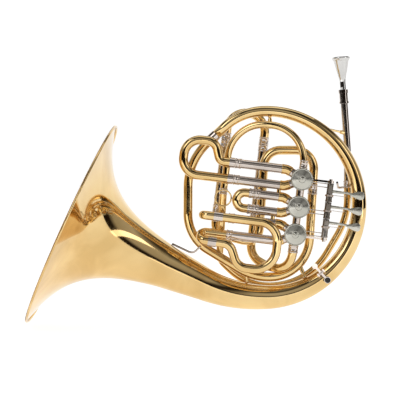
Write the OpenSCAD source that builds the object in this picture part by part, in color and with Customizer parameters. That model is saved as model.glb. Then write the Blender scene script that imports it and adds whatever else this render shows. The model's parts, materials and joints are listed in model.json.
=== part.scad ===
// Single French horn with three rotary valves, in millimetres.
// The origin is the centre of the bell's rim. X runs across the horn towards the finger levers,
// Z runs up towards the mouthpiece, and the player's left hand works the levers from the -Y side.

/* [Bell] */
// Diameter of the bell at its rim
bell_dia = 311; // [290:1:320]
// Slope of the bell's axis below the horizontal
bell_slope = 24.4; // [23:0.2:26]
// Depth at which the flare's radius has about halved
flare_depth = 39; // [36:1:42]
// Sheet thickness of the bell
bell_wall = 0.8; // [0.6:0.1:1.0]
// Radius of the big turn of the bell branch around the horn
branch_turn = 134; // [132:1:136]

/* [Tubing] */
// Outside diameter of the cylindrical tubing and of the slides' outer tubes
tube_od = 13.2; // [13:0.1:13.4]
// Outside diameter of the slides' inner legs
leg_od = 12; // [11.6:0.1:12]
// Wall of every tube
tube_wall = 0.5; // [0.4:0.05:0.5]
// Outside diameter of the leadpipe and of the entry bow
lead_od = 10.5; // [10:0.1:11]
// Play between neighbours that are soldered or slide on each other
play = 0.05; // [0.03:0.01:0.06]

/* [Valves] */
// Lean of the line of valves from the vertical
valve_tilt = 7; // [6.5:0.1:7.5]
// Distance between neighbouring valves
valve_pitch = 39.5; // [39:0.1:40]
// Outside radius of a valve casing
casing_r = 14.5; // [14.3:0.1:14.7]
// Radius of a rotor
rotor_r = 12; // [11.8:0.1:12]
// Radius of a screw cap
cap_r = 15.5; // [15.2:0.1:15.8]
// Radius at which a rotor's stud is driven
crank_r = 4.6; // [4.4:0.1:4.8]

/* [Levers] */
// Distance of the lever axle from the line of valves
axle_u = 42; // [41:0.5:43]
// Length of a lever's finger side
lever_len = 44; // [42:1:46]
// Depth of the lever axle in front of the horn's middle plane
axle_y = -22; // [-22.5:0.5:-21.5]

/* [Hidden] */
$fn = 48;

brass = "goldenrod";
nickel = "lightgray";
bell_r = bell_dia / 2;
flare_power = 1.01;
flare_end = 150;
tube_id = leg_od + 2 * play;
leg_id = leg_od - 2 * tube_wall;
lead_id = lead_od - 2 * tube_wall;
seam = 0.01;
// the upright big circle that the bell branch runs on
wrap = [281, 28];
valve_origin = [326, 0, 24];
port_y = -21;
tuning_y = 26;
loop_y = 7;
return_y = 12;
lead_y = 20;
entry_y = 5;
front_y = -37.5;
tuning_u = [-113.5, -58.5];
entry_top = 112;
entry_turn = 52;
tuning_top = 127;
tuning_mouth = 84;
entry_u = -108;
slide_mouth_u = -97;
slide_2_end = -88.5;
slide_v = [valve_pitch, 0, -valve_pitch];
slide_half = [11.75, 11.2, 12];
casing_back = -6;
casing_front = -34;
rotor_back = -9.1;
rotor_front = -31;
stem_r = 3.5;
stud_r = 1.5;
link_y = -3;
rod_r = 0.7;
eye_r = 4;
hub_r = 5;
axle_r = 2.5;
bar = 4;

// ---- vectors and tube paths -------------------------------------------------------------
// A path is a list of points [x, y, z, r]; r is the centreline radius of the bend at that point.
function unit(v) = v / norm(v);
function xyz(p) = [p.x, p.y, p.z];
function heading(p, i) = unit(xyz(p[i + 1]) - xyz(p[i]));
function turn(p, i) = acos(max(-1, min(1, heading(p, i - 1) * heading(p, i))));
function setback(p, i) = (i < 1 || i > len(p) - 2) ? 0 : p[i][3] * tan(turn(p, i) / 2);
function bend_side(p, i) = unit(heading(p, i) - heading(p, i - 1) * (heading(p, i - 1) * heading(p, i)));
function any_side(d) = unit(cross(d, abs(d.z) < 0.9 ? [0, 0, 1] : [1, 0, 0]));
// a point of the tilted valve frame, u across, y deep and v up, in the horn's frame
function tilted(q) = [valve_origin.x + q.x * cos(valve_tilt) + q.z * sin(valve_tilt), q.y,
    valve_origin.z - q.x * sin(valve_tilt) + q.z * cos(valve_tilt), q[3]];

module place(o, x, z) {
    y = cross(z, x);
    multmatrix([[x.x, y.x, z.x, o.x], [x.y, y.y, z.y, o.y], [x.z, y.z, z.z, o.z]]) children();
}

module at_valves() {
    translate(valve_origin) rotate([0, valve_tilt, 0]) children();
}

module ring(od, id) {
    difference() {
        circle(d = od);
        if (id > 0) circle(d = id);
    }
}

// a tube, or a rod where id is 0, of straight runs and true bends
module tube(p, od, id = 0) {
    for (i = [0 : len(p) - 2]) {
        start = xyz(p[i]) + heading(p, i) * (setback(p, i) + seam);
        run = norm(xyz(p[i + 1]) - start) - setback(p, i + 1) - seam;
        if (run > seam) place(start, any_side(heading(p, i)), heading(p, i))
            linear_extrude(run) ring(od, id);
    }
    for (i = [1 : 1 : len(p) - 2]) {
        d = heading(p, i - 1);
        n = bend_side(p, i);
        place(xyz(p[i]) - d * setback(p, i) + n * p[i][3], -n, cross(-n, d))
            rotate_extrude(angle = turn(p, i)) translate([p[i][3], 0]) ring(od, id);
    }
}

// a straight rod between two points
module rod(a, b, r) {
    d = unit(b - a);
    place(a, any_side(d), d) cylinder(r = r, h = norm(b - a));
}

// a soldered band around the straight run between two points
module band(a, b, id) {
    tube([a, b], id + 1.6, id + 2 * play);
}

// ---- paths -------------------------------------------------------------------------------
bell_dir = [cos(bell_slope), 0, -sin(bell_slope)];
branch_low = wrap.y - branch_turn;
ferrule_at = [203.5, 0, 122.5];
branch_path = [bell_dir * flare_end, [-branch_low / tan(bell_slope), 0, branch_low, 210],
    [wrap.x + branch_turn, 0, branch_low, branch_turn],
    [wrap.x + branch_turn, 0, wrap.y + branch_turn, branch_turn],
    [246, 0, wrap.y + branch_turn, 84], ferrule_at];
branch_out = unit([-42.5, 0, -39.5]);
loop_path = [ferrule_at + branch_out * 0.5, [169, 0, 90.4, 86], [168.5, 0, -20, 60],
    [262, 0, -77, 84], [341, loop_y, -77, 58], [348.5, loop_y, 50]];
back_path = [[348.6, loop_y, 51], [352, loop_y, 106, 27], [280, return_y, 106, 24],
    [270.5, return_y, -27, 18], [246, return_y + 1, -24, 14],
    tilted([tuning_u[0], tuning_y, -52, 18]),
    tilted([tuning_u[0], tuning_y, -16])];
exit_path = [tilted([tuning_u[1], tuning_y, -16]), tilted([tuning_u[1], tuning_y, -79, 26]),
    [284, 8, -62, 20], tilted([0, port_y, -valve_pitch - 51, 24]),
    tilted([0, port_y, -valve_pitch - 10])];
entry_path = [tilted([entry_u, entry_y, 10]), tilted([entry_u, entry_y, entry_top, entry_turn]),
    tilted([1, port_y, entry_top, entry_turn]), tilted([0, port_y, valve_pitch + 10])];
mouth_top = [390.5, lead_y, 241.5];
lead_top = [394.9, lead_y, 180];
mouth_dir = unit(lead_top - mouth_top);
lead_path = [lead_top, [400, lead_y, 108, 115], [400, lead_y, 8, 105], [345, lead_y, -85, 95],
    [258, lead_y, -94, 80], [214, 12.8, -52, 22], tilted([entry_u, entry_y, 9.5])];

// ---- bell --------------------------------------------------------------------------------
function bell_radius(t) = bell_r * pow(flare_depth / (flare_depth + t), flare_power);
flare_steps = [for (i = [0 : 30]) flare_end * pow(i / 30, 1.7)];

module bell_flare() {
    outer = [for (t = flare_steps) [bell_radius(t), t]];
    inner = [for (i = [30 : -1 : 0]) [bell_radius(flare_steps[i]) - bell_wall, flare_steps[i]]];
    color(brass) rotate([0, 90 + bell_slope, 0]) rotate_extrude($fn = 96)
        polygon(concat(outer, inner));
}

module bell_rim_wire() {
    wire_r = 1.6;
    color(brass) rotate([0, 90 + bell_slope, 0]) rotate_extrude($fn = 96)
        translate([bell_r - 1.1, wire_r + 0.5]) circle(r = wire_r);
}

// stations along a path: [point, direction, distance], with a few steps in every bend
function bend_points(p, i, n) = [for (k = [0 : n])
    let (a = turn(p, i) * k / n, d = heading(p, i - 1), s = bend_side(p, i), r = p[i][3])
    [xyz(p[i]) - d * setback(p, i) + (d * sin(a) + s * (1 - cos(a))) * r, d * cos(a) + s * sin(a)]];
function stations(p) = concat([[xyz(p[0]), heading(p, 0)]],
    [for (i = [1 : len(p) - 2]) each bend_points(p, i, max(3, ceil(turn(p, i) / 8)))],
    [[xyz(p[len(p) - 1]), heading(p, len(p) - 2)]]);
function thinned(s) = [for (i = [0 : len(s) - 1])
    if (i == 0 || norm(s[i][0] - s[max(i, 1) - 1][0]) > 1) s[i]];
function reach(s, i) = i == 0 ? 0 : reach(s, i - 1) + norm(s[i][0] - s[i - 1][0]);

branch_stations = thinned(stations(branch_path));
branch_end = flare_end + reach(branch_stations, len(branch_stations) - 1);

module bell_branch() {
    sides = 24;
    s = branch_stations;
    n = len(s);
    function loop_at(i, wall) = [for (k = [0 : sides - 1])
        let (a = 360 * k / sides, out = cross(s[i][1], [0, 1, 0]),
            r = bell_radius(flare_end + reach(s, i)) - wall)
        s[i][0] + (out * cos(a) + [0, 1, 0] * sin(a)) * r];
    points = concat([for (i = [0 : n - 1]) each loop_at(i, 0)],
        [for (i = [0 : n - 1]) each loop_at(i, bell_wall)]);
    function at(i, k, skin) = (skin * n + i) * sides + k % sides;
    outer = [for (i = [0 : n - 2], k = [0 : sides - 1])
        [at(i, k, 0), at(i + 1, k, 0), at(i + 1, k + 1, 0), at(i, k + 1, 0)]];
    inner = [for (i = [0 : n - 2], k = [0 : sides - 1])
        [at(i, k + 1, 1), at(i + 1, k + 1, 1), at(i + 1, k, 1), at(i, k, 1)]];
    ends = [for (k = [0 : sides - 1]) each
        [[at(0, k, 0), at(0, k + 1, 0), at(0, k + 1, 1), at(0, k, 1)],
        [at(n - 1, k + 1, 0), at(n - 1, k, 0), at(n - 1, k, 1), at(n - 1, k + 1, 1)]]];
    color(brass) translate(bell_dir * 0.05) polyhedron(points, concat(outer, inner, ends));
}

module branch_ferrule() {
    end_r = bell_radius(branch_end);
    color(nickel) band(ferrule_at - branch_out * 8, ferrule_at + branch_out * 8, 2 * end_r + 0.4);
}

// ---- fixed tubing ------------------------------------------------------------------------
module loop_tube() {
    color(brass) tube(loop_path, tube_od, tube_id);
}

module back_loop() {
    color(brass) tube(back_path, tube_od, tube_id);
}

module exit_bow() {
    color(brass) difference() {
        tube(exit_path, tube_od, tube_id);
        casing_space(2);
    }
}

module entry_bow() {
    color(brass) difference() {
        tube(entry_path, lead_od, lead_id);
        casing_space(0);
    }
}

module leadpipe() {
    color(nickel) tube(lead_path, lead_od, lead_id);
}

module mouthpiece_receiver() {
    place(lead_top + mouth_dir * 6, any_side(mouth_dir), -mouth_dir) color(nickel)
        rotate_extrude() difference() {
            square([7, 20]);
            translate([0, -1]) square([4.6, 22]);
            translate([0, -1]) square([lead_od / 2 + play, 7]);
            translate([6.2, 3]) square([2, 12]);
        }
}

// cup, throat and shank, lying on the pipe's axis with the rim at the top
module mouthpiece() {
    shank = 61;
    color(nickel) place(mouth_top, any_side(mouth_dir), mouth_dir) rotate_extrude()
        difference() {
            polygon([[0, 0.6], [8.9, 0], [11.6, 0], [13.2, 1.2], [13.2, 2.8], [12, 4.2],
                [10.8, 6.5], [8.6, 17], [6, 27], [4.6, 33], [4.3, 36], [4.4, 44],
                [3.9, shank - 6], [0, shank - 6]]);
            polygon([[0, -1], [8.9, -1], [8.9, 0.6], [7.6, 5], [5, 15], [2.4, 27], [2.3, 33],
                [3.1, shank], [0, shank]]);
        }
}

module tuning_outer_tubes() {
    color(nickel) for (u = tuning_u)
        tube([tilted([u, tuning_y, -15.9]), tilted([u, tuning_y, tuning_mouth])], tube_od, tube_id);
}

module tuning_slide() {
    half = (tuning_u[1] - tuning_u[0]) / 2;
    color(brass) tube([for (q = [[0, tuning_mouth + 0.3], [0, tuning_top], [1, tuning_top],
        [1, tuning_mouth + 0.3]]) tilted([tuning_u[q[0]], tuning_y, q[1], half])], tube_od, tube_id);
}

module tuning_slide_legs() {
    color(nickel) for (u = tuning_u)
        tube([tilted([u, tuning_y, 20]), tilted([u, tuning_y, tuning_mouth + 11])], leg_od, leg_id);
}

// ---- valves ------------------------------------------------------------------------------
module at_valve(i) {
    at_valves() translate([0, 0, slide_v[i]]) children();
}

// a cylinder along the depth of the horn, from front to back
module deep(r, front, back) {
    translate([0, front, 0]) rotate([-90, 0, 0]) cylinder(r = r, h = back - front);
}

module casing_space(i) {
    at_valve(i) deep(casing_r + play, casing_front - 1, casing_back + 1);
}

// the two tubes from a valve to its slide: out of the casing, then left
function outer_path(i, s) = [[-4, port_y, slide_v[i] + s * 3],
    [-22, port_y, slide_v[i] + s * slide_half[i], 16],
    [slide_mouth(i), port_y, slide_v[i] + s * slide_half[i]]];
function slide_mouth(i) = i == 1 ? -64 : slide_mouth_u;

module valve_casing(i) {
    color(brass) difference() {
        at_valve(i) difference() {
            deep(casing_r, casing_front, casing_back);
            deep(rotor_r + play, casing_front - 1, casing_back - 3);
            deep(stem_r + play, casing_front, casing_back + 1);
            translate([0, port_y, -casing_r - 1]) cylinder(d = lead_id, h = 2 * casing_r + 2);
        }
        at_valves() for (s = [-1, 1]) {
            p = outer_path(i, s);
            rod(xyz(p[0]), xyz(p[1]), leg_id / 2);
        }
    }
}

module valve_1_casing() { valve_casing(0); }
module valve_2_casing() { valve_casing(1); }
module valve_3_casing() { valve_casing(2); }

module valve_knuckles() {
    gap = valve_pitch - 2 * casing_r;
    color(nickel) difference() {
        at_valves() for (side = [-1, 1]) translate([0, port_y, side * valve_pitch / 2 - gap / 2 - 3])
            linear_extrude(gap + 6) ring(lead_od + 1, lead_id);
        for (i = [0 : 2]) casing_space(i);
    }
}

module valve_caps() {
    color(nickel) for (i = [0 : 2]) at_valve(i) translate([0, casing_front - play, 0])
        rotate([90, 0, 0]) rotate_extrude() polygon([[0, 0.2], [casing_r - 1, 0.2], [casing_r, 0],
            [cap_r, 0], [cap_r, 3.2], [cap_r - 0.8, 4], [cap_r - 2.6, 4], [cap_r - 3.2, 3.2],
            [6, 3.2], [5.4, 3.8], [3.4, 3.8], [3, 4.6], [0, 4.8]]);
}

module bearing_plates() {
    color(brass) for (i = [0 : 2]) at_valve(i) difference() {
        deep(rotor_r, casing_front + 0.1, rotor_front - 0.1);
        deep(stem_r - 0.5 + play, casing_front + 1, rotor_front + 1);
    }
}

// a rotor with its two passages, spindles and driving crank; the crank's stud is below the
// spindle for side -1 and above it for side 1
module rotor(i, side) {
    reach_uv = crank_r * cos(45);
    color(nickel) at_valve(i) {
        difference() {
            deep(rotor_r - 0.02, rotor_front, rotor_back);
            for (s = [-1, 1]) translate([s * 5.6, port_y, -rotor_r - 1])
                cylinder(r = 4.4, h = 2 * rotor_r + 2);
        }
        deep(stem_r - 0.5, casing_front + 1.3, rotor_front);
        deep(stem_r, rotor_back, casing_back + 0.1);
        hull() {
            deep(stem_r, casing_back + 0.1, casing_back + 2, $fn = 32);
            translate([reach_uv, 0, side * reach_uv]) deep(2, casing_back + 0.1, casing_back + 2, $fn = 32);
        }
        translate([reach_uv, 0, side * reach_uv]) deep(stud_r, casing_back + 1.9, link_y + 2);
    }
}

module rotor_1() { rotor(0, -1); }
module rotor_2() { rotor(1, -1); }
module rotor_3() { rotor(2, 1); }

module stop_corks() {
    color("peru") for (i = [0 : 2]) at_valve(i) for (a = [-35, 215])
        rotate([0, a, 0]) translate([9.5, casing_back + play, -1.5]) cube([3.5, 2, 3]);
}

// ---- valve slides ------------------------------------------------------------------------
module slide_outer(i) {
    color(nickel) difference() {
        at_valves() for (s = [-1, 1]) tube(outer_path(i, s), tube_od, tube_id);
        casing_space(i);
    }
}

module slide_1_outer() { slide_outer(0); }
module slide_2_outer() { slide_outer(1); }
module slide_3_outer() { slide_outer(2); }

module slide_legs(i, deepest) {
    color(nickel) at_valves() for (s = [-1, 1]) tube([[deepest, port_y, slide_v[i] + s * slide_half[i]],
        [slide_mouth(i) - 8, port_y, slide_v[i] + s * slide_half[i]]], leg_od, leg_id);
}

// teardrop bow of the first slide
module slide_1() {
    low = slide_v[0] - slide_half[0];
    high = slide_v[0] + slide_half[0];
    start = slide_mouth_u - 0.3;
    color(brass) at_valves() tube([[start, port_y, low], [-171, port_y, low, 23],
        [-171, port_y, high + 27, 23], [-128, port_y, high + 27, 16], [-118.5, port_y, high, 9],
        [start, port_y, high]], tube_od, tube_id);
}

module slide_2() {
    color(brass) at_valves() tube([[slide_mouth(1) - 0.3, port_y, -slide_half[1]],
        [slide_2_end, port_y, -slide_half[1], slide_half[1] - seam],
        [slide_2_end, port_y, slide_half[1], slide_half[1] - seam],
        [slide_mouth(1) - 0.3, port_y, slide_half[1]]], tube_od - 0.4, tube_id);
}

// the third slide runs left, turns forward and comes back round a loop in front
module slide_3() {
    high = slide_v[2] + slide_half[2];
    low = slide_v[2] - slide_half[2];
    start = slide_mouth_u - 0.3;
    fold = 8;
    color(brass) at_valves() tube([[start, port_y, high], [-133, port_y, high, fold],
        [-133, front_y, high, fold], [-24, front_y, high, 27], [-24, front_y, -95, 30],
        [-76, front_y, -95, 20], [-90, front_y, -64, 16], [-133, front_y, -63, fold],
        [-133, port_y, low, fold], [start, port_y, low]], tube_od - 0.4, tube_id);
}

module slide_1_legs() { slide_legs(0, -40); }
module slide_2_legs() { slide_legs(1, -32); }
module slide_3_legs() { slide_legs(2, -42); }

module slide_1_ferrules() {
    color(nickel) at_valves() for (s = [-1, 1])
        band([slide_mouth_u - 8, port_y, slide_v[0] + s * slide_half[0]],
            [slide_mouth_u - 0.4, port_y, slide_v[0] + s * slide_half[0]], tube_od);
}

module slide_3_ferrules() {
    high = slide_v[2] + slide_half[2];
    color(nickel) at_valves() {
        band([-118, front_y, high], [-105, front_y, high], tube_od - 0.4);
        band([-122, front_y, -63.3], [-110, front_y, -63.6], tube_od);
    }
}

module pull_ring() {
    ring_r = 11.5;
    wire_r = 1.15;
    color(brass) at_valves() translate([slide_2_end - tube_od / 2 - ring_r - wire_r, port_y, 0])
        rotate([90, 0, 0]) rotate_extrude() translate([ring_r, 0]) circle(r = wire_r);
}

// ---- levers and linkage ------------------------------------------------------------------
// height on the axle of each lever's finger arm, and of its link
arm_v = [28, 6, -17];
link_v = [valve_pitch - crank_r * 0.85, -crank_r * 0.85, -valve_pitch + crank_r * 0.85];
hub_from = [12.2, -11.8, -38.8];
hub_to = [38.8, 11.8, -12.2];
paddle_drop = 1.5;

module lever_axle() {
    color(nickel) at_valves() translate([axle_u, axle_y, -45]) cylinder(r = axle_r, h = 90);
}

module axle_posts() {
    color(nickel) difference() {
        at_valves() for (s = [-1, 1]) translate([0, 0, s * 41]) {
            translate([axle_u, axle_y, -1.8]) cylinder(r = 4.4, h = 3.6);
            translate([axle_u - 30, axle_y - bar / 2, -1.5]) cube([28, bar, 3]);
        }
        at_valves() translate([axle_u, axle_y, -50]) cylinder(r = axle_r + play, h = 100);
        casing_space(0);
        casing_space(2);
    }
}

// finger arm and spoon to the right of the axle, driving arm behind it
module lever(i) {
    tip = [axle_u + lever_len, -9, arm_v[i] - paddle_drop];
    color(nickel) at_valves() difference() {
        union() {
            translate([axle_u, axle_y, hub_from[i]]) cylinder(r = hub_r, h = hub_to[i] - hub_from[i]);
            translate([0, axle_y, 0]) {
                hull() for (q = [[axle_u + 3, 0, arm_v[i]], [axle_u + 26, -5, arm_v[i]]])
                    translate(q) sphere(d = 4.4, $fn = 24);
                hull() for (q = [[axle_u + 26, -5, arm_v[i]], tip]) translate(q) sphere(d = 3.4, $fn = 24);
                hull() for (q = [[-13, 0, 2], [1.5, -4.8, 1.8], [1.5, 4.8, 1.8]])
                    translate(tip + [q.x, 0, q.y]) rotate([90, 0, 0])
                        cylinder(r = q.z, h = 2.2, center = true, $fn = 32);
            }
            translate([axle_u - 1.5, axle_y, link_v[i] - 1.4]) cube([3, link_y - axle_y, 2.8]);
            translate([axle_u, link_y, link_v[i] - 4.2]) cylinder(r = 1.2, h = 8.4);
        }
        translate([axle_u, axle_y, -60]) cylinder(r = axle_r + play, h = 120);
    }
}

module lever_1() { lever(0); }
module lever_2() { lever(1); }
module lever_3() { lever(2); }

// return spring: coils around the hub and a tail that hooks under the finger arm
module lever_spring(i) {
    coil_r = hub_r + 0.75;
    wire = 1;
    base = arm_v[i] - 7.7;
    color(nickel) at_valves() {
        for (k = [0 : 2]) translate([axle_u, axle_y, base + k * 1.3])
            rotate_extrude() translate([coil_r, 0]) circle(d = wire);
        tube([[axle_u + coil_r + 0.6, axle_y, base], [axle_u + 22, axle_y - 1, base, 3],
            [axle_u + 24, axle_y - 1, arm_v[i] - 3]], wire);
    }
}

module lever_1_spring() { lever_spring(0); }
module lever_2_spring() { lever_spring(1); }
module lever_3_spring() { lever_spring(2); }

// link from a lever's driving arm to its rotor's crank; each end is a loose eye
module link(i) {
    crank_u = crank_r * cos(45);
    color(nickel) at_valves() difference() {
        union() {
            translate([crank_u, 0, link_v[i]]) deep(eye_r, link_y - 0.7, link_y + 0.9);
            translate([axle_u, link_y - 0.4, link_v[i] + 1.7]) cylinder(r = 3.2, h = 1.8);
            translate([axle_u, link_y - 0.4, link_v[i] - 3.5]) cylinder(r = 3.2, h = 1.8);
            for (s = [-1, 1]) rod([crank_u + 6, link_y + 0.1, link_v[i] + s * 2.6],
                [axle_u - 2, link_y + 0.1, link_v[i] + s * 2.6], rod_r);
            translate([crank_u + 3, link_y - 0.7, link_v[i] - 3.4]) cube([4, 1.6, 6.8]);
        }
        translate([crank_u, 0, link_v[i]]) deep(stud_r + 1, link_y - 2, link_y + 2);
        translate([axle_u, link_y - 0.5, link_v[i] - 6]) cylinder(r = 2.1, h = 12);
    }
}

module link_1() { link(0); }
module link_2() { link(1); }
module link_3() { link(2); }

module finger_hook() {
    color(nickel) tube([[394.6, lead_y, 52.5], [385, lead_y, 51.5, 6], [384, -8, 52, 10],
        [381.5, -24, 59]], 3.2);
}

// ---- braces and stays --------------------------------------------------------------------
// a round brace between two points, with flanged feet
module brace(a, b) {
    rod(a, b, 1.6);
    rod(a, a + unit(b - a) * 9.5, 3);
    rod(b, b + unit(a - b) * 9.5, 3);
}

// room for the big turn of the bell branch at the distance t from the bell's rim, on its half side
module turn_space(t, half) {
    translate([wrap.x, 0, wrap.y]) rotate([90, 0, 0]) rotate([0, 0, half * 180])
        rotate_extrude(angle = 180) translate([branch_turn, 0]) circle(r = bell_radius(t) + 0.5);
}

module tube_braces() {
    bow_top = xyz(tilted([(entry_u + 1) / 2, (entry_y + port_y) / 2, entry_top]));
    color(brass) difference() {
        union() {
            brace([bow_top.x, 0, wrap.y + branch_turn], bow_top);
            brace([256, 0, -104], [252, 0, -68]);
            brace([358, 0, 139], [398, lead_y, 131]);
            brace([331, 5, -62], [339, 0, -84]);
            at_valves() brace([-30, port_y, slide_v[0] - slide_half[0]], [-30, port_y, slide_half[1]]);
            at_valves() brace([-34, port_y, -slide_half[1]], [-34, port_y, slide_v[2] + slide_half[2]]);
        }
        tube(entry_path, lead_od + 2 * play);
        tube(loop_path, tube_od + 2 * play);
        tube(back_path, tube_od + 2 * play);
        tube(lead_path, lead_od + 2 * play);
        at_valves() for (i = [0 : 2], s = [-1, 1]) tube(outer_path(i, s), tube_od + 2 * play);
        translate([256, 0, -104.6]) rotate([0, 90, 0])
            cylinder(r = bell_radius(262) + 0.6, h = 60, center = true);
        turn_space(360, 1);
        turn_space(636, 0);
    }
}

// bent wire stay between the bell's throat and the loop tube
module bell_stay() {
    color(nickel) tube([[146, -2, -29], [176, -8, -43, 10], [186, -9, -33]], 3);
}

// ---- water key ---------------------------------------------------------------------------
key_at = [368.3, 0, -80.5];
key_dir = unit([-11, 0, 12]);
key_skin = -bell_radius(395);
bumper_r = 4;

module at_key() {
    place(key_at, key_dir, [0, -1, 0]) children();
}

module key_nipple() {
    color(brass) at_key() translate([0, 0, -key_skin + 0.4]) difference() {
        cylinder(r = 3, h = 2.4);
        translate([0, 0, -1]) cylinder(r = 1.6, h = 5);
    }
}

module key_pad() {
    color("black") at_key() translate([0, 0, -key_skin + 2.9]) {
        cylinder(r = 4.8, h = 1.6);
        cylinder(r = bumper_r, h = 4.2);
    }
}

module key_arm() {
    color(nickel) at_key() difference() {
        union() {
            translate([0, 0, -key_skin + 4.55]) cylinder(r = 4.8, h = 2.1);
            translate([3, -1.5, -key_skin + 5.3]) cube([24, 3, 1.4]);
            translate([14, 0, -key_skin + 5]) rotate([90, 0, 0]) cylinder(r = 2.4, h = 7, center = true);
            translate([27, 0, -key_skin + 5.3]) cylinder(r = 4, h = 1.4);
        }
        translate([0, 0, -key_skin]) cylinder(r = bumper_r + play, h = 10);
        translate([14, 0, -key_skin + 5]) rotate([90, 0, 0]) cylinder(r = 1.05, h = 20, center = true);
    }
}

module key_saddle() {
    color(nickel) at_key() translate([14, 0, -key_skin]) {
        for (s = [-1, 1]) difference() {
            translate([-2.5, s * 5 - 1, 0.4]) cube([5, 2, 7]);
            translate([0, 0, 5]) rotate([90, 0, 0]) cylinder(r = 1.05, h = 20, center = true);
        }
        translate([0, 0, 5]) rotate([90, 0, 0]) cylinder(r = 1, h = 14, center = true);
    }
}

bell_flare();
bell_rim_wire();
bell_branch();
branch_ferrule();
loop_tube();
back_loop();
exit_bow();
entry_bow();
leadpipe();
mouthpiece_receiver();
mouthpiece();
tuning_outer_tubes();
tuning_slide();
tuning_slide_legs();
valve_1_casing();
valve_2_casing();
valve_3_casing();
valve_knuckles();
valve_caps();
bearing_plates();
rotor_1();
rotor_2();
rotor_3();
stop_corks();
slide_1_outer();
slide_2_outer();
slide_3_outer();
slide_1();
slide_2();
slide_3();
slide_1_legs();
slide_2_legs();
slide_3_legs();
slide_1_ferrules();
slide_3_ferrules();
pull_ring();
lever_axle();
axle_posts();
lever_1();
lever_2();
lever_3();
lever_1_spring();
lever_2_spring();
lever_3_spring();
link_1();
link_2();
link_3();
finger_hook();
tube_braces();
bell_stay();
key_saddle();
key_arm();
key_pad();
key_nipple();
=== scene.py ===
import json
import math

import bpy
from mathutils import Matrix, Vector


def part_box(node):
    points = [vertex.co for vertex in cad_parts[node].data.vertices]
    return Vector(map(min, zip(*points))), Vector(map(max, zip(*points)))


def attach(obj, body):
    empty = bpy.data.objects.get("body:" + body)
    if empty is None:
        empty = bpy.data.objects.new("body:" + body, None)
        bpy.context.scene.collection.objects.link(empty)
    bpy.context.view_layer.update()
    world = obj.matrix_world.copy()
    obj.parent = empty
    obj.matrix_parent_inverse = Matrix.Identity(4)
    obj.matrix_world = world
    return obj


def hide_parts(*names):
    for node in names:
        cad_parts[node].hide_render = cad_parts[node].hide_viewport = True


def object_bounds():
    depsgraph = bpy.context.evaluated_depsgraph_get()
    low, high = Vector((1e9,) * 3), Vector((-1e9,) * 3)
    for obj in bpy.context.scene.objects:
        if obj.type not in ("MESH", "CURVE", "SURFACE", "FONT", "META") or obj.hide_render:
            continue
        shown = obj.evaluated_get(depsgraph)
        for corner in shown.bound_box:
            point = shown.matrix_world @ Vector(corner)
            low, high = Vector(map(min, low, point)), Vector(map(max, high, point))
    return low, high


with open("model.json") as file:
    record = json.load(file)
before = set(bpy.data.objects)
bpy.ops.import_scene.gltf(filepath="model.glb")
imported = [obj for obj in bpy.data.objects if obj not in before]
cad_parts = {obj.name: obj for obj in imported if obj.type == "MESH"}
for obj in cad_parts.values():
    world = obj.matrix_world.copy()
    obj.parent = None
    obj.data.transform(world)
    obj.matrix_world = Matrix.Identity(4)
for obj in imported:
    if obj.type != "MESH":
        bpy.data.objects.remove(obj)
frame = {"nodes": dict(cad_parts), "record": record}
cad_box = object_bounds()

NODES = frame["nodes"]
MM = 0.001

# ---- values shared with the design, in metres and degrees ---------------------------------
BELL_SLOPE = math.radians(24.4)
BELL_DIR = Vector((math.cos(BELL_SLOPE), 0, -math.sin(BELL_SLOPE)))
BELL_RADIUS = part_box("bell_flare")[1].y
FLARE_DEPTH = 39 * MM
FLARE_POWER = 1.01
BELL_WALL = 0.6 * MM
TURN = 134 * MM
WRAP_X, WRAP_Z = 281 * MM, 28 * MM
FLARE_END = 150 * MM
VALVE_TILT = math.radians(7)
VALVE_ORIGIN = Vector((326 * MM, 0, 24 * MM))
VALVE_PITCH = 39.5 * MM
LEAD_SPLIT = 57 * MM
U_DIR = Vector((math.cos(VALVE_TILT), 0, -math.sin(VALVE_TILT)))
V_DIR = Vector((math.sin(VALVE_TILT), 0, math.cos(VALVE_TILT)))
Y_DIR = Vector((0, 1, 0))


def tilted(u, y, v):
    """A point of the valve frame, in millimetres, in the horn's frame."""
    return VALVE_ORIGIN + U_DIR * u * MM + V_DIR * v * MM + Y_DIR * y * MM


# ---- meshes -------------------------------------------------------------------------------
def add_mesh(name, vertices, faces, body, slot, material):
    """A smooth piece from a mesh, riding on a body and taking its finish from the material given; the slot
    is not used.
    """
    mesh = bpy.data.meshes.new(name)
    mesh.from_pydata([tuple(v) for v in vertices], [], faces)
    mesh.validate()
    mesh.update()
    for polygon in mesh.polygons:
        polygon.use_smooth = True
    mesh.materials.append(material)
    piece = bpy.data.objects.new(name, mesh)
    bpy.context.scene.collection.objects.link(piece)
    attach(piece, body)
    return piece


def side_of(direction):
    """Two directions square to this one."""
    away = Vector((0, 0, 1)) if abs(direction.z) < 0.9 else Vector((1, 0, 0))
    first = direction.cross(away).normalized()
    return first, direction.cross(first).normalized()


def revolved(profile, origin, axis, sides=64, first=None):
    """Vertices and faces of a closed profile of (radius, height) turned about an axis."""
    a = first or side_of(axis)[0]
    b = axis.cross(a).normalized()
    vertices, faces = [], []
    for radius, height in profile:
        for k in range(sides):
            turn = 2 * math.pi * k / sides
            out = a * math.cos(turn) + b * math.sin(turn)
            vertices.append(origin + axis * height + out * radius)
    rows = len(profile)
    for i in range(rows):
        for k in range(sides):
            j, m = (i + 1) % rows, (k + 1) % sides
            faces.append((i * sides + k, i * sides + m, j * sides + m, j * sides + k))
    return vertices, faces


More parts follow.
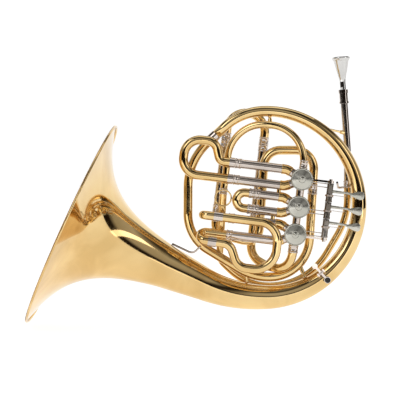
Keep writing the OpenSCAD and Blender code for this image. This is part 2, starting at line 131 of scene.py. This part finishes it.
def swept(points, radii, sides=16, reference=None):
    """A closed round rod along points, with a radius at each."""
    vertices, faces = [], []
    side = None
    for i, point in enumerate(points):
        ahead = points[min(i + 1, len(points) - 1)] - points[max(i - 1, 0)]
        d = ahead.normalized()
        if side is None:
            side = reference or side_of(d)[0]
        side = (side - d * side.dot(d)).normalized()
        up = d.cross(side)
        for k in range(sides):
            turn = 2 * math.pi * k / sides
            vertices.append(point + (side * math.cos(turn) + up * math.sin(turn)) * radii[i])
    for i in range(len(points) - 1):
        for k in range(sides):
            m = (k + 1) % sides
            faces.append((i * sides + k, i * sides + m, (i + 1) * sides + m, (i + 1) * sides + k))
    faces.append(tuple(reversed(range(sides))))
    last = (len(points) - 1) * sides
    faces.append(tuple(last + k for k in range(sides)))
    return vertices, faces


# ---- materials ----------------------------------------------------------------------------
def new_material(name, metallic, roughness):
    """A material with its node tree, its shader and the object's own coordinates."""
    material = bpy.data.materials.new(name)
    material.use_nodes = True
    tree = material.node_tree
    shader = tree.nodes["Principled BSDF"]
    shader.inputs["Metallic"].default_value = metallic
    shader.inputs["Roughness"].default_value = roughness
    place = tree.nodes.new("ShaderNodeTexCoord")
    return material, tree, shader, place.outputs["Object"]


def noise(tree, place, scale, detail=4.0, distortion=0.0):
    node = tree.nodes.new("ShaderNodeTexNoise")
    node.inputs["Scale"].default_value = scale
    node.inputs["Detail"].default_value = detail
    node.inputs["Distortion"].default_value = distortion
    tree.links.new(place, node.inputs["Vector"])
    return node.outputs["Fac"]


def ramp(tree, value, stops):
    """Colours at stops from 0 to 1."""
    node = tree.nodes.new("ShaderNodeValToRGB")
    elements = node.color_ramp.elements
    elements[0].position, elements[0].color = stops[0][0], (*stops[0][1], 1)
    elements[1].position, elements[1].color = stops[-1][0], (*stops[-1][1], 1)
    for position, colour in stops[1:-1]:
        elements.new(position).color = (*colour, 1)
    tree.links.new(value, node.inputs["Fac"])
    return node.outputs["Color"]


def spread(tree, value, low, high):
    """The middle of a noise, drawn out from low to high."""
    node = tree.nodes.new("ShaderNodeMapRange")
    node.inputs["From Min"].default_value = 0.3
    node.inputs["From Max"].default_value = 0.7
    node.inputs["To Min"].default_value = low
    node.inputs["To Max"].default_value = high
    tree.links.new(value, node.inputs["Value"])
    return node.outputs["Result"]


def bump(tree, value, shader, strength, distance):
    node = tree.nodes.new("ShaderNodeBump")
    node.inputs["Strength"].default_value = strength
    node.inputs["Distance"].default_value = distance
    tree.links.new(value, node.inputs["Height"])
    tree.links.new(node.outputs["Normal"], shader.inputs["Normal"])


def metal(name, dark, light, rough, bump_strength=0.04, coat=0.0):
    """Polished metal: a slow drift of colour and polish, and very fine hand-buffing marks."""
    material, tree, shader, place = new_material(name, 1.0, sum(rough) / 2)
    drift = noise(tree, place, 14.0, 3.0, 0.4)
    fine = noise(tree, place, 900.0, 2.0)
    tree.links.new(ramp(tree, drift, [(0.35, dark), (0.65, light)]), shader.inputs["Base Color"])
    tree.links.new(spread(tree, noise(tree, place, 55.0), *rough), shader.inputs["Roughness"])
    bump(tree, fine, shader, bump_strength, 0.00002)
    shader.inputs["Coat Weight"].default_value = coat
    shader.inputs["Coat Roughness"].default_value = 0.03
    return material


def lacquered_brass():
    return metal("lacquered_brass", (0.70, 0.47, 0.19), (0.86, 0.63, 0.30), (0.04, 0.10), coat=0.2)


def nickel_silver():
    return metal("nickel_silver", (0.56, 0.49, 0.44), (0.72, 0.64, 0.58), (0.07, 0.15))


def satin_nickel():
    return metal("satin_nickel", (0.50, 0.49, 0.43), (0.66, 0.64, 0.57), (0.20, 0.30), 0.15)


# A much darker copy of nickel silver, used for the lever hubs, whose slot is nickel silver.
def darkened_nickel():
    return metal("darkened_nickel", (0.16, 0.14, 0.12), (0.40, 0.36, 0.32), (0.18, 0.35), 0.15)


def silver_plate():
    return metal("silver_plate", (0.58, 0.57, 0.55), (0.72, 0.71, 0.69), (0.07, 0.14))


def plain_brass():
    return metal("plain_brass", (0.70, 0.46, 0.18), (0.80, 0.56, 0.26), (0.20, 0.35), 0.1)


def black_rubber():
    material, tree, shader, place = new_material("black_rubber", 0.0, 0.6)
    grain = noise(tree, place, 700.0)
    stops = [(0.3, (0.008, 0.008, 0.008)), (0.7, (0.03, 0.03, 0.03))]
    tree.links.new(ramp(tree, grain, stops), shader.inputs["Base Color"])
    bump(tree, grain, shader, 0.3, 0.0001)
    return material


def cork():
    material, tree, shader, place = new_material("cork", 0.0, 0.9)
    grain = noise(tree, place, 1200.0, 8.0, 1.0)
    stops = [(0.35, (0.20, 0.11, 0.05)), (0.5, (0.50, 0.31, 0.15)), (0.7, (0.62, 0.42, 0.24))]
    tree.links.new(ramp(tree, grain, stops), shader.inputs["Base Color"])
    bump(tree, grain, shader, 0.6, 0.0002)
    return material


def leadpipe_finish():
    """The leadpipe is nickel silver down to its ferrule and brass below it."""
    material = metal("leadpipe_finish", (0.56, 0.49, 0.44), (0.72, 0.64, 0.58), (0.07, 0.15))
    tree = material.node_tree
    shader = tree.nodes["Principled BSDF"]
    nickel = shader.inputs["Base Color"].links[0].from_socket
    place = tree.nodes.new("ShaderNodeTexCoord")
    split = tree.nodes.new("ShaderNodeSeparateXYZ")
    tree.links.new(place.outputs["Object"], split.inputs["Vector"])
    above = tree.nodes.new("ShaderNodeMath")
    above.operation = "GREATER_THAN"
    above.inputs[1].default_value = LEAD_SPLIT
    tree.links.new(split.outputs["Z"], above.inputs[0])
    mix = tree.nodes.new("ShaderNodeMix")
    mix.data_type = "RGBA"
    mix.inputs[6].default_value = (0.80, 0.56, 0.25, 1)
    tree.links.new(above.outputs["Value"], mix.inputs[0])
    tree.links.new(nickel, mix.inputs[7])
    tree.links.new(mix.outputs[2], shader.inputs["Base Color"])
    return material


MATERIALS = {make.__name__: make() for make in (
    lacquered_brass, nickel_silver, satin_nickel, silver_plate, plain_brass, black_rubber, cork)}
BRASS = MATERIALS["lacquered_brass"]
NICKEL = MATERIALS["nickel_silver"]
DARKENED_NICKEL = darkened_nickel()
SATIN = MATERIALS["satin_nickel"]


def paint_cad():
    """Gives every CAD node the material of its slot in the record."""
    for part in frame["record"]["subparts"]:
        node = NODES[part["node"]]
        node.data.materials.clear()
        node.data.materials.append(MATERIALS[part["material_slot"]])
    NODES["leadpipe"].data.materials[0] = leadpipe_finish()


# ---- bell ---------------------------------------------------------------------------------
def bell_radius(depth):
    return BELL_RADIUS * (FLARE_DEPTH / (FLARE_DEPTH + depth)) ** FLARE_POWER


def arc(corner, before, after, radius, step):
    """Points round a corner of a path, with the heading at each."""
    turn = before.angle(after)
    side = (after - before * before.dot(after)).normalized()
    start = corner - before * radius * math.tan(turn / 2)
    count = max(2, int(turn / step))
    for k in range(count + 1):
        a = turn * k / count
        yield (start + (before * math.sin(a) + side * (1 - math.cos(a))) * radius,
               before * math.cos(a) + side * math.sin(a))


def bell_stations():
    """Points down the middle of the bell, from its rim to the ferrule, with headings."""
    low, high = WRAP_Z - TURN, WRAP_Z + TURN
    right = WRAP_X + TURN
    corners = [(Vector((-low / math.tan(BELL_SLOPE), 0, low)), 210 * MM),
               (Vector((right, 0, low)), TURN), (Vector((right, 0, high)), TURN),
               (Vector((246 * MM, 0, high)), 84 * MM)]
    end = Vector((203.5 * MM, 0, 122.5 * MM))
    places = [Vector((0, 0, 0))] + [c for c, r in corners] + [end]
    rows = [(BELL_DIR * FLARE_END * (k / 60) ** 1.8, BELL_DIR) for k in range(61)]
    for i, (corner, radius) in enumerate(corners):
        before = (corner - places[i]).normalized()
        after = (places[i + 2] - corner).normalized()
        for row in arc(corner, before, after, radius, math.radians(2.5)):
            if (row[0] - rows[-1][0]).length > 1.5 * MM:
                rows.append(row)
    rows.append((end, (end - places[-2]).normalized()))
    return rows


def bell():
    """The flare and its branch as one smooth sheet, in place of the two CAD solids."""
    sides = 96
    rows = bell_stations()
    reach, rings = 0.0, []
    for i, (point, heading) in enumerate(rows):
        if i:
            reach += (point - rows[i - 1][0]).length
        rings.append((point, heading.cross(Y_DIR).normalized(), bell_radius(reach)))
    vertices, faces = [], []
    for shrink, order in ((0, rings), (BELL_WALL, list(reversed(rings)))):
        for point, out, radius in order:
            for k in range(sides):
                turn = 2 * math.pi * k / sides
                ray = out * math.cos(turn) + Y_DIR * math.sin(turn)
                vertices.append(point + ray * (radius - shrink))
    count = 2 * len(rings)
    for i in range(count):
        for k in range(sides):
            j, m = (i + 1) % count, (k + 1) % sides
            faces.append((i * sides + m, i * sides + k, j * sides + k, j * sides + m))
    piece = add_mesh("bell_body", vertices, faces, "horn", "lacquered_brass", BRASS)
    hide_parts("bell_flare", "bell_branch")


# ---- ferrules -----------------------------------------------------------------------------
# Radii are in metres; places in the valve frame are in millimetres, as tilted() takes them.
TUBE_R = 6.6 * MM
LEAD_R = 5.25 * MM
PORT_Y = -21
TUNING_LEFT, TUNING_RIGHT, TUNING_Y = -113.5, -58.5, 26
ENTRY_U, ENTRY_Y = -108, 5
SLIDE_HALF = (11.75, 11.2, 12)
PITCH = VALVE_PITCH / MM


def beaded_profile(inner, length):
    """A sleeve with a rounded bead at each end: (radius, height) points round the section."""
    skin, bead, rise = 0.55 * MM, 0.9 * MM, 0.45 * MM
    points = [(inner, 0.0)]
    for middle in (bead, length - bead):
        for k in range(9):
            a = math.pi * k / 8
            points.append((inner + skin + rise * math.sin(a), middle - bead * math.cos(a)))
    points.append((inner, length))
    return points


def ferrule(name, start, end, tube_radius, body="horn"):
    """A beaded nickel sleeve round a tube."""
    axis = (end - start).normalized()
    profile = beaded_profile(tube_radius + 0.04 * MM, (end - start).length)
    vertices, faces = revolved(profile, start, axis, 48)
    add_mesh(name, vertices, faces, body, "nickel_silver", NICKEL)


def ferrules():
    spots = {
        "entry_left_ferrule": (tilted(ENTRY_U, ENTRY_Y, 5), tilted(ENTRY_U, ENTRY_Y, 14), LEAD_R),
        "entry_right_ferrule": (tilted(0.3, PORT_Y, 55), tilted(0.45, PORT_Y, 67), LEAD_R),
        "exit_ferrule": (tilted(0, PORT_Y, -66), tilted(0, PORT_Y, -55), TUBE_R),
        "loop_ferrule": (Vector((348.1, 7, 42)) * MM, Vector((348.9, 7, 57)) * MM, TUBE_R),
        "lead_ferrule": (Vector((400, 20, 52)) * MM, Vector((400, 20, 62)) * MM, LEAD_R),
    }
    for name, spot in spots.items():
        ferrule(name, *spot)
    for side, s in (("low", -1), ("high", 1)):
        second = s * SLIDE_HALF[1]
        for number, (mouth, end) in enumerate(((-96.8, -88), (-63.8, -56), (-96.8, -88)), 1):
            v = PITCH * (2 - number) + s * SLIDE_HALF[number - 1]
            ferrule(f"slide_{number}_mouth_{side}", tilted(mouth, PORT_Y, v), tilted(end, PORT_Y, v),
                    TUBE_R)
        ferrule("slide_2_bow_" + ("high" if s < 0 else "low"), tilted(-72, PORT_Y, second),
                tilted(-64.4, PORT_Y, second), TUBE_R - 0.2 * MM, "slide_2_body")
    for side, u in (("left", TUNING_LEFT), ("right", TUNING_RIGHT)):
        for name, low, high, body in (("tuning_" + side + "_foot", -21, -11, "horn"),
                                      ("tuning_" + side + "_mouth", 74, 83.8, "horn"),
                                      ("tuning_bow_" + side, 84.4, 95, "tuning_slide_body")):
            ferrule(name, tilted(u, TUNING_Y, low), tilted(u, TUNING_Y, high), TUBE_R, body)


def sleeve(name, points, outer, inner, body, slot, material, sides=40):
    """A hollow sleeve along points; outer has a radius for each point."""
    count = 2 * len(points)
    vertices, faces = [], []
    places = list(zip(points, outer)) + [(point, inner) for point in reversed(points)]
    for place, radius in places:
        i = points.index(place)
        heading = (points[min(i + 1, len(points) - 1)] - points[max(i - 1, 0)]).normalized()
        out = heading.cross(Y_DIR).normalized()
        for k in range(sides):
            turn = 2 * math.pi * k / sides
            vertices.append(place + (out * math.cos(turn) + Y_DIR * math.sin(turn)) * radius)
    for i in range(count):
        for k in range(sides):
            j, m = (i + 1) % count, (k + 1) % sides
            faces.append((i * sides + m, i * sides + k, j * sides + k, j * sides + m))
    add_mesh(name, vertices, faces, body, slot, material)


def collars():
    """Brass collars on the bends where the valve slides' outer tubes meet the casings."""
    bend, thick, bead = 16 * MM, 0.55 * MM, 0.35 * MM
    for number, half in enumerate(SLIDE_HALF, 1):
        for side, s in (("high", 1), ("low", -1)):
            middle = PITCH * (2 - number)
            inside = tilted(-4, PORT_Y, middle + s * 3)
            corner = tilted(-22, PORT_Y, middle + s * half)
            inward = (inside - corner).normalized()
            curve = [row[0] for row in arc(corner, U_DIR, inward, bend, math.radians(3))]
            points = [curve[0] - U_DIR * step * MM for step in (4.0, 3.4, 2.8, 2.2, 1.2)]
            points += curve + [curve[-1] + inward * step * MM for step in (1.2, 2.6)]
            outer = [TUBE_R + thick] * len(points)
            outer[1] = outer[2] = TUBE_R + thick + bead
            sleeve(f"valve_{number}_collar_{side}", points, outer, TUBE_R + 0.04 * MM, "horn",
                   "lacquered_brass", BRASS)


# ---- levers -------------------------------------------------------------------------------
AXLE_U, AXLE_Y = 42, -22
LEVERS = ((28, (12.2, 38.8)), (6, (-11.8, 11.8)), (-17, (-38.8, -12.2)))
LINK_V = (35.59, -3.91, -35.59)


def spoon(number, tip_u, tip_y, tip_v):
    """A dished fan-shaped finger plate with a rolled edge, narrow where it meets the arm."""
    back, front, narrow, wide, thick, dish = 14.5, 4.6, 1.9, 7.0, 1.2, -0.9
    rings, sides = 10, 48
    middle = tilted(tip_u, tip_y, tip_v)
    vertices, faces = [], []

    def ring_at(share, depth):
        for k in range(sides):
            turn = 2 * math.pi * k / sides
            reach = math.copysign(abs(math.cos(turn)) ** 0.75, math.cos(turn)) * share
            half = narrow + (wide - narrow) * (0.5 + 0.5 * reach)
            rise = math.copysign(abs(math.sin(turn)) ** 0.75, math.sin(turn)) * share
            vertices.append(middle + (U_DIR * ((front - back) / 2 + (front + back) / 2 * reach)
                                      + V_DIR * (half * rise) + Y_DIR * depth) * MM)
    for i in range(1, rings + 1):
        share = i / rings
        ring_at(share, dish * (1 - share * share) - 0.5 * thick)
    for k in range(1, 6):
        a = math.pi * k / 6
        ring_at(1 + 0.08 * math.sin(a), -0.5 * thick * math.cos(a))
    for i in range(rings, 0, -1):
        share = i / rings
        ring_at(share, dish * (1 - share * share) + 0.5 * thick)
    rows = 2 * rings + 5
    for i in range(rows - 1):
        for k in range(sides):
            m = (k + 1) % sides
            faces.append((i * sides + k, i * sides + m, (i + 1) * sides + m, (i + 1) * sides + k))
    faces.append(tuple(reversed(range(sides))))
    faces.append(tuple((rows - 1) * sides + k for k in range(sides)))
    add_mesh(f"lever_{number}_spoon", vertices, faces, f"lever_{number}_body", "satin_nickel", SATIN)


def curve_points(corners, steps=10):
    """Points along a smooth curve through the corners."""
    points = []
    for i in range(len(corners) - 1):
        p0, p1 = corners[max(i - 1, 0)], corners[i]
        p2, p3 = corners[i + 1], corners[min(i + 2, len(corners) - 1)]
        for k in range(steps):
            t = k / steps
            points.append(0.5 * (2 * p1 + (p2 - p0) * t + (2 * p0 - 5 * p1 + 4 * p2 - p3) * t * t
                                 + (3 * p1 - p0 - 3 * p2 + p3) * t ** 3))
    return points + [corners[-1]]


def lever(number):
    """A hub on the axle, a finger arm with its plate, and a driving arm with its pin."""
    arm_v, (hub_low, hub_high) = LEVERS[number - 1]
    link_v = LINK_V[number - 1]
    body = f"lever_{number}_body"
    hub = [(2.6, 0), (2.6, hub_high - hub_low)]
    for height in (hub_high - hub_low, hub_high - hub_low - 2.2):
        hub += [(4.2, height), (5, height - 0.5)]
    hub += [(4.5, hub_high - hub_low - 3), (4.5, 3), (5, 2.4), (5, 0.6), (4.4, 0)]
    profile = [(r * MM, h * MM) for r, h in hub]
    vertices, faces = revolved(profile, tilted(AXLE_U, AXLE_Y, hub_low), V_DIR, 48)
    # The hub takes the much darker copy of nickel silver, though its slot is nickel silver.
    first = add_mesh(f"lever_{number}_hub", vertices, faces, body, "nickel_silver", DARKENED_NICKEL)
    corners = [tilted(AXLE_U + u, AXLE_Y - depth, arm_v - drop) for u, depth, drop in (
        (4, 0, 0), (14, 1.5, 0), (24, 4.8, 0.1), (31, 7.2, 0.7), (36, 8.6, 1.3))]
    points = curve_points(corners)
    thick = [(2.2 - 0.9 * i / (len(points) - 1)) * MM for i in range(len(points))]
    add_mesh(f"lever_{number}_arm", *swept(points, thick, 20), body, "satin_nickel", SATIN)
    spoon(number, AXLE_U + 43.5, AXLE_Y - 9, arm_v - 1.5)
    drive = [tilted(AXLE_U, AXLE_Y + y, link_v) for y in (4, 8, 12, 16, 19)]
    add_mesh(f"lever_{number}_drive", *swept(drive, [1.5 * MM] * 5, 16), body, "nickel_silver", NICKEL)
    pin = [tilted(AXLE_U, -3, link_v + dv) for dv in (-4.2, -3.9, 3.9, 4.2)]
    add_mesh(f"lever_{number}_pin", *swept(pin, [0.9 * MM, 1.2 * MM, 1.2 * MM, 0.9 * MM], 20), body,
             "nickel_silver", NICKEL)
    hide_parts(f"lever_{number}")


def lever_spring(number):
    """A coil round the hub, with a tail that hooks under the finger arm."""
    arm_v = LEVERS[number - 1][0]
    base = arm_v - 8
    coil, rise = 5.75, 2.6
    points = []
    for k in range(12 * 18 + 1):
        a = 2 * math.pi * k / 72
        points.append(tilted(AXLE_U + coil * math.cos(a), AXLE_Y + coil * math.sin(a),
                             base + rise * k / (12 * 18)))
    hook = [points[-1]]
    end_v = base + rise
    hook += [tilted(AXLE_U + 14, AXLE_Y - 0.4, end_v), tilted(AXLE_U + 22, AXLE_Y - 1, end_v),
             tilted(AXLE_U + 24, AXLE_Y - 1, arm_v - 3)]
    points += curve_points(hook, 6)[1:]
    piece = add_mesh(f"lever_{number}_coil", *swept(points, [0.45 * MM] * len(points), 8),
                     f"lever_{number}_body", "nickel_silver", NICKEL)
    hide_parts(f"lever_{number}_spring")


# ---- mouthpiece ---------------------------------------------------------------------------
def mouthpiece_lip():
    """The rounded rim of the mouthpiece, with its undercut and two turned lines."""
    top, below = Vector((390.5, 20, 241.5)) * MM, Vector((394.9, 20, 180)) * MM
    outline = [(11.0, 0.1), (11.7, -0.25), (12.5, 0.0), (13.3, 0.8), (13.5, 1.7), (13.3, 2.6), (12.4, 3.5),
               (11.9, 4.4), (11.9, 5.1), (11.5, 5.5), (10.6, 5.3)]
    profile = [(radius * MM, height * MM) for radius, height in outline]
    vertices, faces = revolved(profile, top, (below - top).normalized(), 72)
    add_mesh("mouthpiece_lip", vertices, faces, "mouthpiece_body", "silver_plate",
             MATERIALS["silver_plate"])


# ---- valve caps ---------------------------------------------------------------------------
CAP_Y = -34.05


def cap_grip(number):
    """The milled edge and turned rings of a screw cap."""
    flutes, high, low = 40, 16.0, 15.56
    v = PITCH * (2 - number)
    middle = tilted(0, CAP_Y - 0.9, v)
    vertices, faces = [], []
    sides = flutes * 4
    for radius_in, height in ((True, 0), (False, 0.3), (False, 2.1), (True, 2.4)):
        for k in range(sides):
            turn = 2 * math.pi * k / sides
            wave = 0.5 + 0.5 * math.cos(flutes * turn)
            radius = low if radius_in else low + 0.12 + (high - low) * wave
            vertices.append(middle + (U_DIR * math.cos(turn) + V_DIR * math.sin(turn)) * radius * MM
                            - Y_DIR * height * MM)
    for i in range(4):
        for k in range(sides):
            j, m = (i + 1) % 4, (k + 1) % sides
            faces.append((i * sides + m, i * sides + k, j * sides + k, j * sides + m))
    add_mesh(f"valve_{number}_cap_grip", vertices, faces, "horn", "satin_nickel", SATIN)


def cap_face(number):
    """The turned front of a screw cap: a thin rim, a shallow cone and a conical boss."""
    outline = [(15.3, 3.1), (15.4, 4.0), (15.0, 4.5), (14.4, 4.5), (14.1, 4.1), (13.7, 4.3),
               (6.2, 4.9), (5.6, 5.3), (4.8, 5.4), (4.5, 5.2), (3.2, 6.6), (1.5, 7.6), (0.05, 7.8),
               (0.05, 3.1)]
    profile = [(radius * MM, height * MM) for radius, height in outline]
    start = tilted(0, CAP_Y, PITCH * (2 - number))
    vertices, faces = revolved(profile, start, -Y_DIR, 64)
    add_mesh(f"valve_{number}_cap_face", vertices, faces, "horn", "satin_nickel", SATIN)


# ---- stage --------------------------------------------------------------------------------
def backdrop():
    """A pale floor that curves up into a wall behind the horn."""
    low = cad_box[0][2] - 4 * MM
    radius, back, wide, tall = 1.0, 5.0, 9.0, 6.0
    section = [(-6.0, low), (back - radius, low)]
    section += [(back - radius + radius * math.sin(a), low + radius * (1 - math.cos(a)))
                for a in (math.radians(6 * k) for k in range(1, 16))]
    section.append((back, low + tall))
    vertices = [(x, y, z) for y, z in section for x in (-wide, wide)]
    faces = [(2 * i, 2 * i + 1, 2 * i + 3, 2 * i + 2) for i in range(len(section) - 1)]
    mesh = bpy.data.meshes.new("studio_floor")
    mesh.from_pydata(vertices, [], faces)
    for polygon in mesh.polygons:
        polygon.use_smooth = True
    material, tree, shader, place = new_material("pale_floor", 0.0, 0.9)
    tone = ramp(tree, noise(tree, place, 3.0), [(0.2, (0.95, 0.95, 0.95)), (0.8, (0.98, 0.98, 0.98))])
    shader.inputs["Base Color"].default_value = (0.5, 0.5, 0.5, 1)
    tree.links.new(tone, shader.inputs["Emission Color"])
    shader.inputs["Emission Strength"].default_value = 0.84
    mesh.materials.append(material)
    floor = bpy.data.objects.new("studio_floor", mesh)
    bpy.context.scene.collection.objects.link(floor)


def soft_light(name, place, target, size, power):
    data = bpy.data.lights.new(name, "AREA")
    data.shape = "RECTANGLE"
    data.size, data.size_y = size
    data.energy = power
    lamp = bpy.data.objects.new(name, data)
    lamp.location = place
    lamp.rotation_euler = (Vector(target) - Vector(place)).to_track_quat("-Z", "Y").to_euler()
    bpy.context.scene.collection.objects.link(lamp)


def studio_light(middle):
    """Lamps, and a room of bright and dark bands that only the metal sees; the camera sees white."""
    world = bpy.data.worlds.new("studio")
    bpy.context.scene.world = world
    world.use_nodes = True
    tree = world.node_tree
    place = tree.nodes.new("ShaderNodeTexCoord")
    split = tree.nodes.new("ShaderNodeSeparateXYZ")
    tree.links.new(place.outputs["Generated"], split.inputs["Vector"])
    height = spread(tree, split.outputs["Z"], 0, 1)
    tree.nodes[-1].inputs["From Min"].default_value = -1
    tree.nodes[-1].inputs["From Max"].default_value = 1
    tone = ramp(tree, height, [(0.0, (0.50, 0.44, 0.36)), (0.40, (0.16, 0.11, 0.07)),
                               (0.47, (0.02, 0.014, 0.01)), (0.56, (0.03, 0.02, 0.015)),
                               (0.62, (0.80, 0.78, 0.75)), (0.78, (0.95, 0.95, 0.95)),
                               (0.86, (0.10, 0.08, 0.06)), (1.0, (0.5, 0.5, 0.5))])
    across = spread(tree, split.outputs["X"], 0, 1)
    tree.nodes[-1].inputs["From Min"].default_value = -1
    tree.nodes[-1].inputs["From Max"].default_value = 1
    dark, lit = (0.06, 0.05, 0.045), (1, 1, 1)
    bands = ramp(tree, across, [(0.0, lit), (0.25, lit), (0.29, dark), (0.35, dark), (0.41, lit),
                                (0.59, lit), (0.64, dark), (0.67, dark), (0.72, lit), (1.0, lit)])
    both = tree.nodes.new("ShaderNodeVectorMath")
    both.operation = "MULTIPLY"
    tree.links.new(tone, both.inputs[0])
    tree.links.new(bands, both.inputs[1])
    room = tree.nodes["Background"]
    room.inputs["Strength"].default_value = 0.47
    tree.links.new(both.outputs["Vector"], room.inputs["Color"])
    white = tree.nodes.new("ShaderNodeBackground")
    white.inputs["Color"].default_value = (0.97, 0.97, 0.97, 1)
    rays = tree.nodes.new("ShaderNodeLightPath")
    mix = tree.nodes.new("ShaderNodeMixShader")
    tree.links.new(rays.outputs["Is Camera Ray"], mix.inputs["Fac"])
    tree.links.new(room.outputs["Background"], mix.inputs[1])
    tree.links.new(white.outputs["Background"], mix.inputs[2])
    tree.links.new(mix.outputs["Shader"], tree.nodes["World Output"].inputs["Surface"])
    soft_light("key_light", middle + Vector((-1.1, -1.5, 1.3)), middle, (0.8, 1.2), 6)
    soft_light("side_light", middle + Vector((1.7, -1.0, 0.4)), middle, (0.4, 1.8), 4)
    soft_light("top_light", middle + Vector((0, 0.1, 1.7)), middle, (2.2, 0.8), 5)
    soft_light("low_light", middle + Vector((-0.4, -1.3, -0.12)), middle, (2.4, 0.15), 1)


def photo_camera():
    """The photograph's view: square on, from far enough away for a mild perspective."""
    aim = Vector((186 * MM, 0, 34 * MM))
    distance, width = 2.4, 576 * MM
    data = bpy.data.cameras.new("photo_camera")
    data.lens = data.sensor_width * distance / width
    camera = bpy.data.objects.new("photo_camera", data)
    camera.location = aim - Y_DIR * distance
    camera.rotation_euler = (math.radians(90), 0, 0)
    bpy.context.scene.collection.objects.link(camera)
    bpy.context.scene.camera = camera
    return aim


paint_cad()
bell()
ferrules()
collars()
for number in (1, 2, 3):
    lever(number)
    lever_spring(number)
    cap_grip(number)
    cap_face(number)
mouthpiece_lip()
backdrop()
studio_light(photo_camera())
bpy.context.scene.view_settings.view_transform = "Standard"
